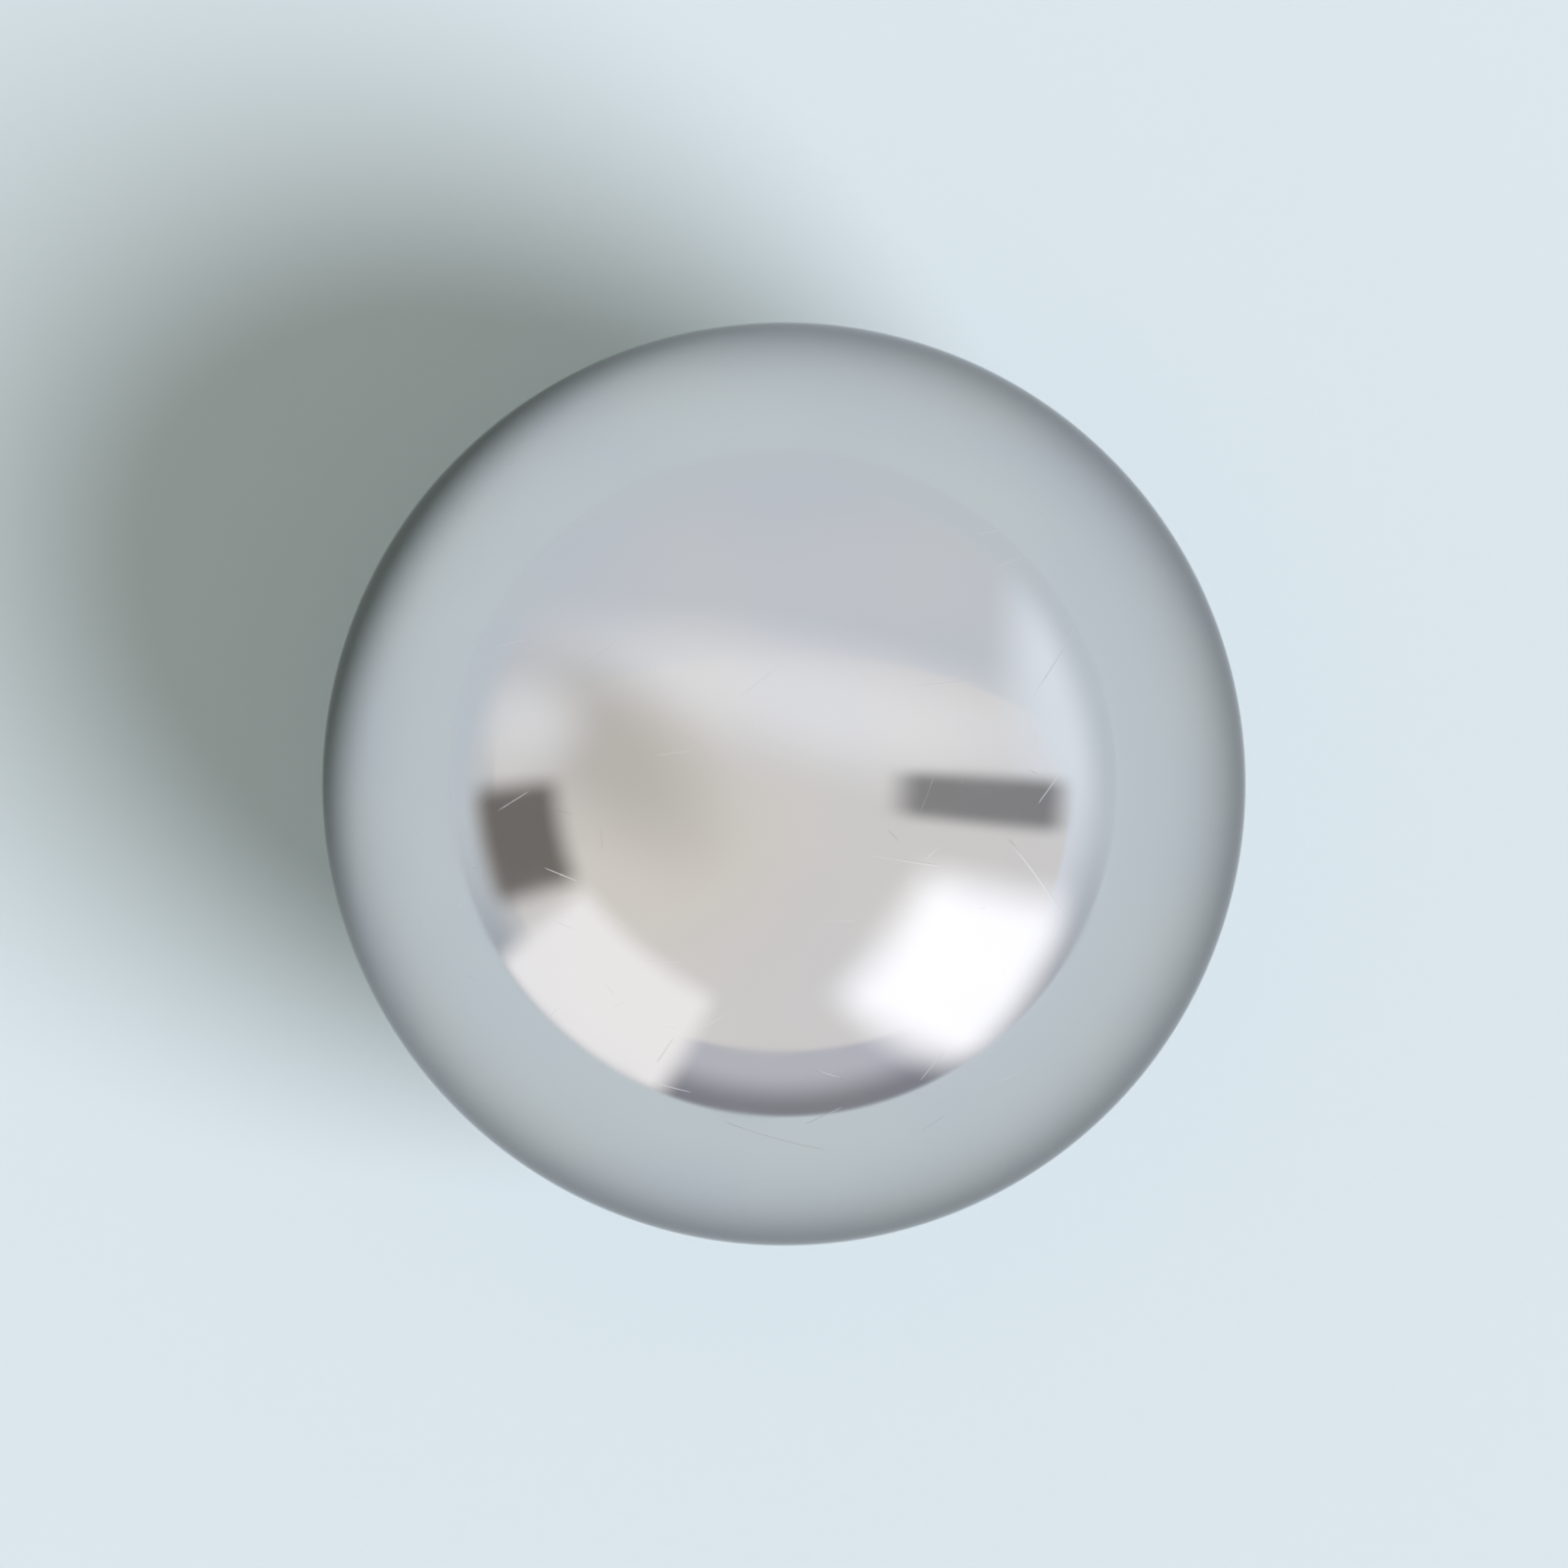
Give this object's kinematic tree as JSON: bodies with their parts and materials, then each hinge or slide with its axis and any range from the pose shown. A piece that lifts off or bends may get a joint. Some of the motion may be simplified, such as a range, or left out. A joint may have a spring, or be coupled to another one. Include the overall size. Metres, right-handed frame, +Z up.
{
  "type": "steel ball",
  "caption": "Solid round steel ball, ground and mirror-polished all over, for rolling, spacing, valve and bench use.",
  "frame": {"origin": "centre of the ball", "axes": "+Z up, away from whatever the ball sits on; X and Y are free, because the ball is the same all round"},
  "size_m": [0.004, 0.004, 0.004],
  "materials": {
    "polished_steel": "polished"
  },
  "bodies": {
    "root": {"ball": "polished_steel"}
  },
  "joints": []
}
